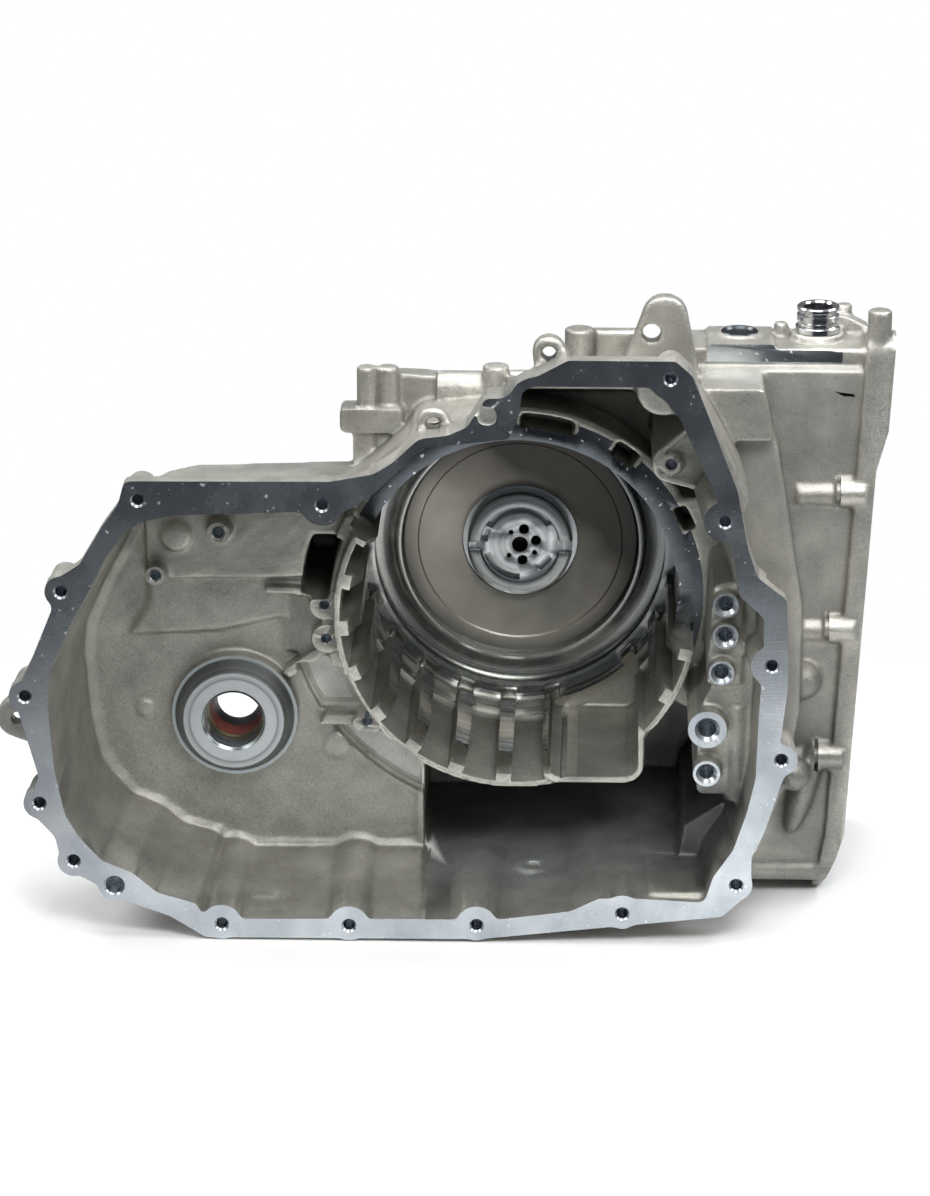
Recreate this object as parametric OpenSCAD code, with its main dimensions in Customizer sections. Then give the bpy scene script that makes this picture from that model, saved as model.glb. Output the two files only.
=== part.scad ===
// Transaxle case: one deep casting that is open at its mating flange.
// X points right, Y points into the case from the flange face, Z points up.
// The origin is on the clutch barrel's axis, in the plane of the flange face.

/* [Flange] */
// Thickness of the mating flange
flange_t = 12; // [9:0.5:16]
// Radius of the metal round each flange bolt, outside the wall
boss_r = 10; // [9:0.5:12]
// Radius of the bolt columns inside the case, at the flange face
column_r = 12.5; // [11:0.5:15]
// Radius that the bolt columns reach at the cavity floor
column_root_r = 20; // [16:0.5:22]
// Tapping drill of the flange bolts
bolt_d = 6.8; // [5:0.1:8.5]
// Depth of the flange bolt holes
bolt_depth = 26; // [15:1:35]
// Diameter of the reamed dowel hole
dowel_d = 11; // [8:0.5:12]

/* [Walls] */
// Thickness of the cast walls
wall = 6; // [4.5:0.5:8]
// Depth of the differential cavity, from the flange face
diff_depth = 95; // [85:1:105]
// Depth of the sump beside the clutch barrel
sump_depth = 196; // [185:1:205]
// Share of its size that the differential cavity keeps at its floor
draft = 0.935; // [0.9:0.005:0.98]
// Share of its size that the sump keeps at its floor
sump_draft = 0.92; // [0.9:0.005:0.96]

/* [Clutch barrel] */
// Radius of the barrel's outer wall
barrel_r = 113; // [111:0.5:116]
// Radius of the slot floors between the lands
slot_r = 109; // [106:0.5:110]
// Radius of the land tips
land_r = 97; // [95:0.5:100]
// Width of one land
land_w = 9.5; // [7:0.5:12]
// Number of land places round the barrel
land_count = 22; // [18:1:26]
// Depth of the lower front edge, from the flange face
barrel_front = 63; // [58:1:70]
// Depth of the cut-back upper front edge
barrel_step = 108; // [100:1:116]
// Depth of the barrel floor
barrel_floor = 212; // [208:1:218]

/* [Hub] */
// Radius of the hub
hub_r = 34; // [30:0.5:40]
// Height of the hub above the barrel floor
hub_h = 8; // [6:0.5:12]
// Diameter of the central feed bore
feed_d = 10.4; // [8:0.2:12]
// Diameter of the oil ports beside it
port_d = 6.6; // [5:0.2:8]

/* [Differential bore] */
// Height of the pedestal above the cavity floor
pedestal_h = 22; // [16:1:28]
// Radius of the pedestal face
pedestal_r = 31.5; // [29:0.5:36]
// Diameter of the machined bore in the pedestal
shaft_bore_d = 36.6; // [34:0.2:40]
// Diameter of the seal pocket behind it
seal_bore_d = 45; // [42:0.5:48]
// Width of the shaft seal
seal_w = 10; // [8:0.5:12]
// Diameter of the shaft that the seal runs on
shaft_d = 27; // [25:0.5:30]

/* [Side chamber] */
// Depth of the chamber's front wall, from the flange face
side_front = 84; // [78:1:90]
// Depth of its back wall
side_back = 214; // [208:1:220]
// Thickness of the cover rail
rail_t = 12; // [9:0.5:15]
// Width of the cover rail
rail_w = 13; // [11:0.5:16]
// Lean of the cover rail, in degrees
rail_lean = 3.2; // [2:0.1:6]
// Tapping drill of the cover bolts
cover_bolt_d = 5; // [4:0.1:6]

/* [Fittings] */
// Outer diameter of the line fitting
fitting_d = 26; // [22:0.5:30]
// Height of the line fitting above its collar
fitting_h = 16; // [12:1:24]
// Diameter of the cup plug on the deck
plug_d = 23; // [22:0.5:30]

/* [Hidden] */
$fn = 48;
through = 1;            // what a cut runs past the metal on each side
far = 400;              // reach of the half planes that limit a shape
foot_z = -190;          // level that the case stands on
rail_x = 215.8;         // outer face of the cover rail, level with the axis
draft_centre = [-80, -8];
sump_left = -57;        // left wall of the deep sump
collar_depth = 24;      // how far the flange's edge runs back over the barrel
collar_gap = [32, 94];   // stretch of the edge without that collar
roof_z = 168;           // roof over the barrel, at the collar and at its end
roof_end_z = 128;
roof_depth = 156;
column_depth = diff_depth + 1;
short_column = 7;       // the flange bolt whose column stays at the flange
dowel_depth = 16;
gallery_r = 142;        // outer wall of the gallery round the barrel
gallery_depth = 176;
back_t = 14;            // thickness of the barrel's closed end
barrel_end = barrel_floor + back_t;
back_rib_count = 12;
band_r = barrel_r + 9;  // outside of the barrel's cut-back band
slot_end = barrel_floor - 12;
snap_y = 176;           // snap ring groove in the land tips
slot_steps = [[168, 105], [184, 101.5]];
cut_r = 101;            // bore of the stretch whose edge is cut back
port_ring = 10.7;
port_angles = [76, 15, -81];
port_marks = [[-5.8, 8.3], [-7, -7.5], [9.5, -5.4]];
// Grooves in the hub face: inner and outer radius, first and last angle
hub_grooves = [[21, 25.5, 35, 150], [21, 25.5, 152, 176], [20, 24, 196, 270]];
land_start = 4.4;       // angle of the first land
missing_land = 18;      // the land that makes way for the pocket
rim_front = 78;
rim_r = barrel_r + 8;
seal_start = 92;
seal_end = 122;
lug_at = [-306, -56];
lug_front = 26;
lug_t = 12;
ear_front = 24;
ear_t = 12;
ear_r = 10;
ear_hole_d = 8.5;
tab_front = 72;
tab_t = 12;
tab_top = [90, 190];
tab_hole = [82, 181];
tab_hole_r = 5.8;
rail_front = side_front - 5;
rail_rise = 5.5;        // how far the rail steps out towards the deck
rail_tuck = 12;         // how far it tucks in at the foot
deck_z = 167;
deck_lip = 8;
collar_z = 172;
plug_at = [136.5, 114];
fitting_at = [184.5, 114];
chamber_left = 132;

// Places of the flange bolts, as X and Z on the flange face
flange_bolts = [[-226, 95], [-115, 93], [93, 174], [127, 85], [157, -7], [164, -68],
                [138, -151], [68, -171], [-22, -180], [-101, -181], [-180, -181],
                [-271, -140], [-291, -102], [-298, -32], [-274, 36]];
dowel_at = [-246, -156];
diff_at = [-176.5, -74];
seal_out_r = seal_bore_d / 2;
seal_shell = 1.3;       // sheet thickness of the seal's steel case
seal_face_r = seal_out_r - 5.5;
lip_root_r = shaft_d / 2 + 1.2;
lip_r = shaft_d / 2 - 0.2;
lip_y = seal_start + seal_w + 2;
spring_r = shaft_d / 2 + 2.6;
spring_y = lip_y + 5;
spring_wire = 0.9;
plug_top = deck_z + 5;
fitting_seat = 12;
ears = [[20.4, 181.9], [-49.1, 136.8]];
rim_bolts = [[-119, 2], [-118, -20], [-93, -75]];
// Bosses on the pad of the differential cavity: X, Z, depth of the face and radius
pad_bosses = [[-184, 50.4, diff_depth - 24, 7], [-224, 20.8, diff_depth - 20, 6]];
pad_at = [95, 102];
pad_front = 58;
foot_x = [-30, 36, 96];
// Windows into the gallery: inner and outer radius, lowest and highest Z, depth of the floor
gallery_windows = [[116, 134, 6, 45, gallery_depth], [rim_r, 143, -73, -38, 106],
                   [rim_r, 142, -150, -81, 106]];
// Tapped bosses on the right wall: X, Z, radius and drill
wall_bosses = [[129, 24, 8, 8.5], [129, 4, 8, 8.5], [127, -20, 8, 8.5], [119, -57, 12, 11],
               [119, -86, 8.5, 8.5]];
wall_boss_front = 22;
cover_bolt_z = [77, -12, -97];
cover_bolts = [[88, 168], [87, 77], [87, -12], [87, -97], [92, -176], [150, -180], [206, -176],
               [211, -90], [211, -10], [211, 70], [206, 128], [156, 154]];
cut_back = [[-118, 62], [0, 0], [118, -22], [150, 20], [140, 130], [0, 150], [-118, 130]];
// Slots in the cut-back face: first and last angle, inner and outer radius, depth
face_slots = [[72, 89, 109, 118, 24], [50, 58, 109, 119, 30], [22, 30, 112, 120.5, 30],
              [-2, 9, 97, 102, 6]];

floor_step = 2;         // step down from the foot of the walls to the cavity floor

// Corners of the flange's outer edge, clockwise from the top left
flange_corners = [[-234, 107], [-110, 108], [-84, 113], [-62, 127], [-28, 143], [-17, 161],
                  [-7, 161], [10, 173], [32, 185], [96, 185], [106, 176], [120, 141], [134, 105],
                  [141, 68], [147, 50], [165, 36], [167, -20], [163, -56], [170, -68],
                  [164, -84], [154, -117], [147, -132], [147, -155], [130, -172], [50, -181],
                  [-20, -189], [-190, -190], [-212, -176], [-240, -166], [-256, -156],
                  [-278, -144], [-282, -124], [-298, -106], [-291, -84], [-300, -50],
                  [-305, -32], [-293, -8], [-280, 24], [-280, 42], [-262, 54], [-248, 78],
                  [-238, 92]];

// Corners of the cavity's mouth, clockwise from the top left
mouth_corners = [[-223, 82], [-206, 86], [-100, 90], [-84, 101], [-54, 130], [-3, 136], [3, 150],
                 [5, 166], [12, 169], [84, 169], [100, 148], [112, 122], [126, 92], [133, 61],
                 [137, 38], [152, 24], [152, -2], [150, -40], [149, -80], [144, -103],
                 [136, -128], [124, -146], [119, -163], [80, -161], [54, -161], [36, -170],
                 [-10, -176], [-190, -178], [-196, -168], [-220, -161], [-235, -148],
                 [-254, -140], [-268, -124], [-276, -110], [-282, -80], [-285, -36],
                 [-283, -16], [-270, 14], [-257, 38], [-246, 60], [-234, 76]];

// ---- placing helpers ----

// A flat X-Z shape made solid from y0 towards the back
module into(y0, len) {
    translate([0, y0, 0]) rotate([-90, 0, 0]) linear_extrude(height = len) mirror([0, 1, 0]) children();
}

// The same, with the walls drawn in towards the back
module into_drafted(y0, len, share = draft) {
    translate([draft_centre[0], y0, draft_centre[1]]) rotate([-90, 0, 0])
        linear_extrude(height = len, scale = share) mirror([0, 1, 0])
            translate(-draft_centre) children();
}

// A flat Y-Z shape made solid from x0 to the right
module across(x0, len) {
    translate([x0, 0, 0]) rotate([90, 0, 90]) linear_extrude(height = len) children();
}

module rod_y(at, y0, len, r, r2 = undef) {
    translate([at[0], y0, at[1]]) rotate([-90, 0, 0]) cylinder(h = len, r1 = r, r2 = is_undef(r2) ? r : r2);
}

module rod_x(at, x0, len, r) {
    translate([x0, at[0], at[1]]) rotate([0, 90, 0]) cylinder(h = len, r = r);
}

module rod_z(at, z0, len, r) {
    translate([at[0], at[1], z0]) cylinder(h = len, r = r);
}

// A body turned about the barrel's axis, from a profile of [radius, depth] points
module turned(profile) {
    rotate([-90, 0, 0]) rotate_extrude($fn = 96) polygon(profile);
}

module softened(r) {
    offset(r = r) offset(delta = -r) children();
}

// ---- outlines ----

module flange_outline() {
    softened(4) polygon(flange_corners);
    for (at = concat(flange_bolts, [dowel_at])) translate(at) circle(r = boss_r);
}

module mouth_outline() {
    softened(5) polygon(mouth_corners);
}

// Floor of the differential cavity, inside the step at the foot of the walls
module floor_outline() {
    difference() {
        left_of(sump_left - 5) translate(draft_centre) scale(draft) translate(-draft_centre)
            offset(delta = -4) mouth_outline();
        for (at = flange_bolts) translate(at) circle(r = column_root_r + 3);
    }
}

module above(z) {
    intersection() {
        children();
        translate([-far, z]) square([2 * far, far]);
    }
}

module below(z) {
    intersection() {
        children();
        translate([-far, z - far]) square([2 * far, far]);
    }
}

module left_of(x) {
    intersection() {
        children();
        translate([-far, -far]) square([far + x, 2 * far]);
    }
}

module right_of(x) {
    intersection() {
        children();
        translate([x, -far]) square([far, 2 * far]);
    }
}

// ---- the casting's outside ----

module flange_plate() {
    into(0, flange_t) flange_outline();
    // deep collar where the edge climbs over the barrel
    into(0, collar_depth) above(44) right_of(-88) difference() {
        flange_outline();
        translate([collar_gap[0], 0]) square([collar_gap[1] - collar_gap[0], far]);
    }
}

// Side view of the roof over the barrel, which falls towards the back
module roof_section(drop) {
    polygon([[-through, -70], [-through, 200], [collar_depth - drop, 200],
             [collar_depth - drop, roof_z - drop], [roof_depth - drop, roof_end_z - drop],
             [roof_depth - drop, -70]]);
}

module upper_body(drop, grow) {
    intersection() {
        into_drafted(0, roof_depth + through) above(-20 - grow) right_of(sump_left - grow)
            offset(delta = grow) mouth_outline();
        across(-far, 2 * far) roof_section(drop);
    }
}

module skirt() {
    into_drafted(0, diff_depth + wall) left_of(sump_left) offset(delta = wall) mouth_outline();
    into_drafted(0, sump_depth + wall, sump_draft)
        below(40) right_of(sump_left - wall) offset(delta = wall) mouth_outline();
    upper_body(0, wall);
}

module columns_outside() {
    for (at = flange_bolts) rod_y(at, 0, bolt_depth + 8, boss_r, boss_r - 1.5);
    rod_y(dowel_at, 0, dowel_depth + 6, boss_r);
}

module gallery_shell() {
    intersection() {
        rod_y([0, 0], diff_depth, gallery_depth + wall - diff_depth, gallery_r + wall);
        into(0, side_back) polygon([[-180, 52], [sump_left, 52], [sump_left, -150], [-180, -150]]);
    }
}

// Closed end of the barrel, seen from behind
module barrel_back() {
    turned([[0, barrel_floor - 4], [barrel_r + 2, barrel_floor - 4], [barrel_r + 2, barrel_floor + 2],
            [barrel_r - 4, barrel_end], [60, barrel_end], [52, barrel_end + 9], [0, barrel_end + 9]]);
    for (i = [0 : back_rib_count - 1]) rotate([0, i * 360 / back_rib_count, 0])
        into(barrel_end - 3, 9) translate([48, -2.5]) square([barrel_r - 60, 5]);
}

module barrel_wall() {
    rod_y([0, 0], barrel_front, barrel_floor + through - barrel_front, barrel_r);
    // core of the closed end, which no cavity may reach
    rod_y([0, 0], barrel_floor - 2, back_t - 4, barrel_r - 8);
    // wide band round the cut-back upper edge
    rod_y([0, 0], barrel_step, 34, band_r);
    // flat-bottomed pocket wall where one land is left out
    into(barrel_front - 3, sump_depth - barrel_front + 3) offset(r = wall - 2) pocket_outline();
}

module differential_back() {
    rod_y(diff_at, diff_depth, seal_end - diff_depth, seal_bore_d / 2 + 7, seal_bore_d / 2 + 6);
    for (i = [0 : 5]) translate([diff_at[0], 0, diff_at[1]]) rotate([0, i * 60 + 15, 0])
        into(diff_depth, 14) translate([seal_bore_d / 2, -3]) square([38, 6]);
}

module left_lug() {
    into(lug_front, lug_t) difference() {
        hull() {
            translate(lug_at) circle(r = 13);
            translate([lug_at[0] + 26, lug_at[1] + 22]) square([4, 8]);
            translate([lug_at[0] + 22, lug_at[1] - 22]) square([4, 8]);
        }
        translate(lug_at) circle(d = 8);
    }
}

module flange_ear(at) {
    into(ear_front, ear_t) hull() {
        translate(at) circle(r = ear_r);
        translate(at + [6, -20]) circle(r = ear_r + 3);
    }
}

module lifting_tab() {
    into(tab_front, tab_t) difference() {
        hull() {
            translate(tab_top) circle(r = 14);
            translate([62, 142]) square([50, 10]);
        }
        translate(tab_hole) circle(r = tab_hole_r);
    }
}

// Bosses and pads that stand on the roof, left of the lifting tab
module roof_bosses() {
    translate([-101, 86, 62]) cube([12, 26, 52]);
    translate([-86, 88, 62]) cube([17, 24, 52]);
    into(84, 20) softened(3) polygon([[-109, 112], [-70.5, 112], [-70.5, 127.5], [-109, 127.5]]);
    translate([-96, 94, 100]) cube([22, 14, 43]);
    rod_z([-92.5, 92], 100, 52.8, 6.2);
    rod_z([-79.5, 96], 100, 52, 6.8);
    into(96, 16) softened(3) polygon([[-76, 84], [-44, 84], [-44, 145], [-76, 147]]);
    rod_x([98, 138], -49, 31, 10.5);
    translate([-49, 91, 100]) cube([30, 19, 36]);
    rod_z([-13, 92], 96, 58.3, 8.2);
    rod_z([38, 92], 120, 58.5, 9);
    translate([44, 94, 120]) cube([33, 10, 56]);
}

// ---- the side chamber ----

function lean_at(z) = rail_x + z * tan(rail_lean);

module side_section() {
    polygon([[side_front, -172], [side_front + 12, -184], [side_back - 12, -184],
             [side_back, -170], [side_back, 122], [128, 163], [side_front + 9, 163],
             [side_front + 9, 158], [side_front, 154]]);
}

module rail_section() {
    polygon([[rail_front, -166], [rail_front + 14, foot_z], [side_back - 8, foot_z],
             [side_back + 4, -176], [side_back + 4, 122], [side_back - 10, 137], [132, 164],
             [rail_front + 20, 177], [rail_front + 11, 177], [rail_front, 166]]);
}

module side_body() {
    intersection() {
        across(100, 160) side_section();
        into(0, side_back + 30) polygon([[126, -200], [lean_at(-200) - rail_tuck - 4, -200],
                                         [lean_at(-174) - rail_tuck / 2 - 4, -174],
                                         [lean_at(-149) - 4, -149], [lean_at(200) - 4, 200],
                                         [100, 200], [100, 90], [126, 60]]);
    }
}

module side_shoulder() {
    // the slope between the flange's skirt and the chamber's front wall
    into(62, 28) softened(4) polygon([[112, 128], [150, 140], [160, 112], [177, 8], [177, -60],
                                      [168, -112], [152, -156], [130, -156], [118, -60], [118, 60]]);
    into(46, 44) softened(3) polygon([[104, 121], [112, 154], [150, 154], [157, 121]]);
    // bulge of the wall beside the flange, above its upper right bolt
    into(7, 42) softened(3) polygon([[96, 150], [110, 160], [126, 132], [136, 113], [141, 96], [137, 84],
                                     [120, 80]]);
}

module side_ridges() {
    for (z = cover_bolt_z) {
        rod_x([rail_front + 9, z - 2], 168 + z * tan(rail_lean), 30, 8);
        rod_x([rail_front + 6, z], lean_at(z) - rail_t - 11, 19, 9.5);
    }
    translate([178, side_front, -46]) sphere(r = 13);
    translate([174, side_front - 14, -104]) sphere(r = 11);
    rod_x([side_front + 4, -176], 130, 60, 7);
}

module rail_face() {
    difference() {
        rail_section();
        offset(delta = -rail_w) rail_section();
    }
    for (at = cover_bolts) translate(at) circle(r = 8.5);
}

module cover_rail() {
    intersection() {
        across(150, 100) rail_face();
        into(0, side_back + 40) polygon([[lean_at(-240) - rail_tuck, -240],
                                         [lean_at(foot_z) - rail_tuck, foot_z],
                                         [lean_at(-174) - rail_tuck / 2, -174], [lean_at(-149), -149],
                                         [lean_at(92), 92], [lean_at(118) + rail_rise, 118],
                                         [lean_at(240) + rail_rise, 240], [lean_at(240) - rail_t, 240],
                                         [lean_at(-149) - rail_t, -149],
                                         [lean_at(-240) - rail_tuck - rail_t, -240]]);
    }
}

module deck() {
    into(94, 38) polygon([[90, 130], [216, 130], [216, deck_z - 1], [90, deck_z - 1]]);
    into(89, 42) softened(2) polygon([[88, deck_z - deck_lip], [217, deck_z - deck_lip], [217, deck_z],
                                      [88, deck_z]]);
    rod_z(plug_at, 140, plug_top - 140, plug_d / 2 + 2);
    rod_z(fitting_at, 140, collar_z - 140, fitting_d / 2 + 3.3);
    rod_z([201, 132], 140, 44, 5.2);
    // boss on top of the rail's front corner
    rod_z([221, 88], 150, 43, 7.4);
    into(120, 14) polygon([[196, 140], [196, 180], [204, 178], [216, 172], [216, 140]]);
    rod_z([162, 118], 140, 36, 4.5);
}

module foot_ribs() {
    for (x = foot_x) across(x, 7) polygon([[60, -150], [60, foot_z], [sump_depth - 6, foot_z],
                                           [sump_depth, foot_z + 8], [sump_depth, -150]]);
}

module outside() {
    flange_plate();
    skirt();
    columns_outside();
    barrel_wall();
    barrel_back();
    gallery_shell();
    differential_back();
    left_lug();
    for (at = ears) flange_ear(at);
    lifting_tab();
    roof_bosses();
    side_body();
    side_shoulder();
    side_ridges();
    cover_rail();
    deck();
    foot_ribs();
}

// ---- the casting's inside ----

module mouth() {
    into_drafted(-through, diff_depth + through - floor_step) left_of(sump_left + through) mouth_outline();
    into(diff_depth - floor_step - 2, floor_step + 2) floor_outline();
    into_drafted(-through, sump_depth + through, sump_draft)
        below(42) right_of(sump_left) mouth_outline();
    upper_body(wall, 0);
}

module columns_inside() {
    for (i = [0 : len(flange_bolts) - 1]) if (i == short_column)
        rod_y(flange_bolts[i], -2, bolt_depth + 10, column_r, column_r);
    else
        rod_y(flange_bolts[i], -2, column_depth + 2, column_r, column_root_r);
    // rounder, deeper lobe below the top right bolt
    rod_y([89, 166], 3, 60, 16, 21);
}

module pedestal() {
    front = diff_depth - pedestal_h;
    translate([diff_at[0], 0, diff_at[1]]) turned([[0, front], [pedestal_r, front], [pedestal_r + 6, front + 10],
                                                   [pedestal_r + 8, diff_depth + 2], [0, diff_depth + 2]]);
}

module differential_pads() {
    into(diff_depth - 9, 12) softened(3) polygon([[-232, 92], [-230, 28], [-218, 15], [-131, 17], [-112, 26],
                                                 [-104, 96]]);
    into(diff_depth - 2.5, 4) polygon([[-229, 30], [-229, -1], [-242, -24], [-186, -21], [-162, -15],
                                       [-134, -8], [-122, 0], [-118, 30]]);
    for (b = pad_bosses) rod_y([b[0], b[1]], b[2], diff_depth + 2 - b[2], b[3], b[3] + 1.5);
    rod_y([-211.5, 43.5], diff_depth - 12, 14, 9);
    rod_y([-113, -98], diff_depth - 1.5, 4, 8);
    translate([-164, 12, -182]) cube([15, 12, 7]);
}

module rim_and_bosses() {
    // rim outside the barrel with three tapped bosses on it
    intersection() {
        rod_y([0, 0], rim_front, diff_depth + 4 - rim_front, rim_r);
        into(0, side_back) polygon([[-150, 60], [sump_left, 60], [sump_left, -118], [-150, -118]]);
    }
    for (at = rim_bolts) rod_y(at, rim_front - 2, diff_depth + 4 - rim_front, 9);
    // slope that runs from the cavity floor up to the rim
    translate([0, 0, -34]) linear_extrude(height = 39)
        polygon([[-100, rim_front + 5], [-119, rim_front + 5], [-150, diff_depth + 1], [-100, diff_depth + 3]]);
    // webs to the gallery's outer wall
    into(rim_front + 6, 18) polygon([[-84, -70], [-118, -72], [-124, -80], [-88, -84]]);
    into(rim_front + 4, diff_depth + 1 - rim_front)
        polygon([[-100, -23], [-121, -26], [-146, -44], [-142, -49], [-119, -33], [-100, -30]]);
    into(rim_front + 7, 18) polygon([[-104, 9], [-156, 11], [-156, 7], [-104, 3]]);
}

module sump_ledges() {
    into(78, 130) polygon([[80, -180], [80, -160], [112, -156], [124, -150], [124, -180]]);
    into(60, 140) polygon([[100, -180], [106, -136], [130, -120], [140, -180]]);
    rod_z([12, 70], -184, 17, 11);
}

// Teardrop pad at the top right of the barrel
module pad_outline() {
    hull() {
        translate(pad_at) circle(r = 12, $fn = 32);
        translate([112, 122]) circle(r = 8, $fn = 32);
        translate([114, 92]) circle(r = 7, $fn = 32);
    }
}

module side_bosses() {
    for (b = wall_bosses) rod_y([b[0], b[1]], wall_boss_front, 150, b[2]);
    into(wall_boss_front + 11, 150) softened(4) polygon([[123, 35], [160, 35], [160, -104], [113, -104],
                                                         [113, -50], [122, -30]]);
    into(wall_boss_front + 8.5, 120) softened(2) polygon([[121, 33], [139.5, 33], [139.5, -30], [118, -30]]);
    rod_z([137, wall_boss_front + 16], -109, 62, 7);
    into(pad_front, 100) pad_outline();
    // wall between the cut-back edge of the barrel and the right side
    into(barrel_step - 2, 84) polygon([[98, 64], [116, 66], [140, 60], [150, 35], [158, 30], [158, -98],
                                       [113, -98], [113, -77], [101, -71], [88, -64]]);
    into(70, 90) polygon([[108, 100], [116, 70], [132, 66], [140, 100]]);
}

module inside_metal() {
    barrel_wall();
    columns_inside();
    pedestal();
    differential_pads();
    rim_and_bosses();
    sump_ledges();
    side_bosses();
}

// ---- cuts ----

module lands(outer) {
    difference() {
        circle(r = outer);
        for (i = [0 : land_count - 1]) if (i != missing_land)
            rotate(land_start + i * 360 / land_count)
                translate([land_r, -land_w / 2]) square([40, land_w]);
    }
    circle(r = land_r);
}

module pocket_outline() {
    softened(9) polygon([[20, -60], [20, -104], [77, -104], [77, -52]]);
}

module sector(from, to) {
    polygon([[0, 0], 200 * [cos(from), sin(from)], 200 * [cos((from + to) / 2), sin((from + to) / 2)],
             200 * [cos(to), sin(to)]]);
}

// Lands and slots, which give way to a plain bore where the edge is cut back
module bore_section() {
    difference() {
        lands(slot_r);
        polygon(cut_back);
    }
    intersection() {
        circle(r = cut_r);
        polygon(cut_back);
    }
}

module barrel_bore() {
    difference() {
        into(barrel_front - 20, slot_end - barrel_front + 20) bore_section();
        // the slot floors rise in steps towards the closed end
        for (step = slot_steps) into(step[0], slot_end) difference() {
            circle(r = slot_r + 10);
            circle(r = step[1]);
        }
    }
    // one turned cut: front chamfer, bore, snap ring groove and closed end
    turned([[0, barrel_front - 20], [land_r + 7, barrel_front - 20],
            [land_r + 7, barrel_front + 3], [land_r, barrel_front + 22], [land_r, snap_y],
            [land_r + 3, snap_y], [land_r + 3, snap_y + 3], [land_r, snap_y + 3], [land_r, slot_end],
            [land_r - 3, slot_end], [land_r - 3, barrel_floor + 2], [82, barrel_floor + 2],
            [80, barrel_floor - 6], [77, barrel_floor - 6], [75, barrel_floor - 1],
            [66.5, barrel_floor - 1], [65.5, barrel_floor], [37.5, barrel_floor],
            [37, barrel_floor + 3], [0, barrel_floor + 3]]);
    // the upper right stretch of the edge is cut back
    into(barrel_front - 30, barrel_step - barrel_front + 30) intersection() {
        polygon(cut_back);
        circle(r = barrel_r + 3);
    }
    for (slot = face_slots) into(barrel_step - 2, slot[4] + 2) intersection() {
        difference() {
            circle(r = slot[3]);
            circle(r = slot[2]);
        }
        sector(slot[0], slot[1]);
    }
    into(barrel_front - 20, slot_end - barrel_front + 4) pocket_outline();
}

// Hub of the barrel floor, with the oil ports and the seal ring grooves in its face
module hub() {
    face = barrel_floor - hub_h;
    difference() {
        turned([[0, barrel_floor + 5], [hub_r, barrel_floor + 5], [hub_r, face - 1], [hub_r - 2, face - 2],
                [26, face - 2], [25, face], [0, face]]);
        rod_y([0, 0], face - 1, 30, feed_d / 2);
        for (a = port_angles) rod_y(port_ring * [cos(a), sin(a)], face - 1, 24, port_d / 2);
        for (at = port_marks) rod_y(at, face - 1, 8, 1.6);
        // arc-shaped oil grooves
        for (g = hub_grooves) into(face - 1, 6) intersection() {
            difference() {
                circle(r = g[1]);
                circle(r = g[0]);
            }
            sector(g[2], g[3]);
        }
        // radial notch at the right and feed slot at the left
        into(face - 3, 4) translate([18, -5]) square([20, 8]);
        into(face - 3, 3.5) translate([-33, -3.5]) square([10, 5.5]);
        into(face - 1, 5) translate([15, -12]) rotate(45) softened(2) square([12, 6], center = true);
    }
}

module windows() {
    for (w = gallery_windows) into(rim_front - 14, w[4] - rim_front + 14) intersection() {
        difference() {
            circle(r = w[1]);
            circle(r = w[0]);
        }
        translate([-180, w[2]]) square([180 + sump_left - 1, w[3] - w[2]]);
    }
}

module drilled_holes() {
    for (at = flange_bolts) rod_y(at, -through, bolt_depth + through, bolt_d / 2);
    rod_y(dowel_at, -through, dowel_depth + through, dowel_d / 2);
    rod_y(diff_at, diff_depth - pedestal_h - through, 80, shaft_bore_d / 2);
    rod_y(diff_at, seal_start, 60, seal_bore_d / 2);
    for (at = ears) rod_y(at, ear_front - through, ear_t + 2 * through, ear_hole_d / 2);
    for (b = wall_bosses) rod_y([b[0], b[1]], wall_boss_front - through, 26, b[3] / 2);
    for (at = rim_bolts) rod_y(at, rim_front - 4, 18, 2.8);
    for (b = pad_bosses) rod_y([b[0], b[1]], b[2] - through, 19, b[3] / 2);
    rod_y(pad_at, pad_front - through, 15, 3.4);
    // the teardrop pad is sunk inside a raised border
    into(pad_front - through, through + 3) difference() {
        offset(delta = -3) pad_outline();
        translate(pad_at) circle(r = 6.4);
    }
    // spot face on the flange and a small slit in the side wall
    rod_y([-16, 150], -through, through + 1, 7);
    into(side_front - through, through + 1) polygon([[194.5, 141.6], [206, 140.2], [207, 138.4], [200, 138.6]]);
    rod_z([12, 70], foot_z - through, 40, 5);
    rod_z(plug_at, plug_top - 7, 7 + through, plug_d / 2);
    rod_z(fitting_at, collar_z - fitting_seat - 8, 30, fitting_d / 2 - 4);
    rod_z(fitting_at, collar_z - fitting_seat, 30, fitting_d / 2 - 1);
    for (at = cover_bolts) rod_x(at, rail_x - rail_t - 10, rail_t + 50, cover_bolt_d / 2);
}

module side_chamber() {
    // the hollow behind the side cover, open to the right
    intersection() {
        across(chamber_left, far) offset(delta = -rail_w) rail_section();
        across(chamber_left, far) offset(delta = -wall) side_section();
    }
}

module case() {
    color("silver") {
        difference() {
            outside();
            difference() {
                mouth();
                inside_metal();
            }
            windows();
            barrel_bore();
            side_chamber();
            drilled_holes();
        }
        hub();
    }
}

// ---- shaft seal in the differential bore ----

module seal_ring(profile) {
    translate([diff_at[0], 0, diff_at[1]]) rotate([-90, 0, 0]) rotate_extrude($fn = 96) difference() {
        polygon(profile);
        // groove that the garter spring lies in
        translate([spring_r, spring_y]) circle(r = spring_wire, $fn = 24);
    }
}

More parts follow.
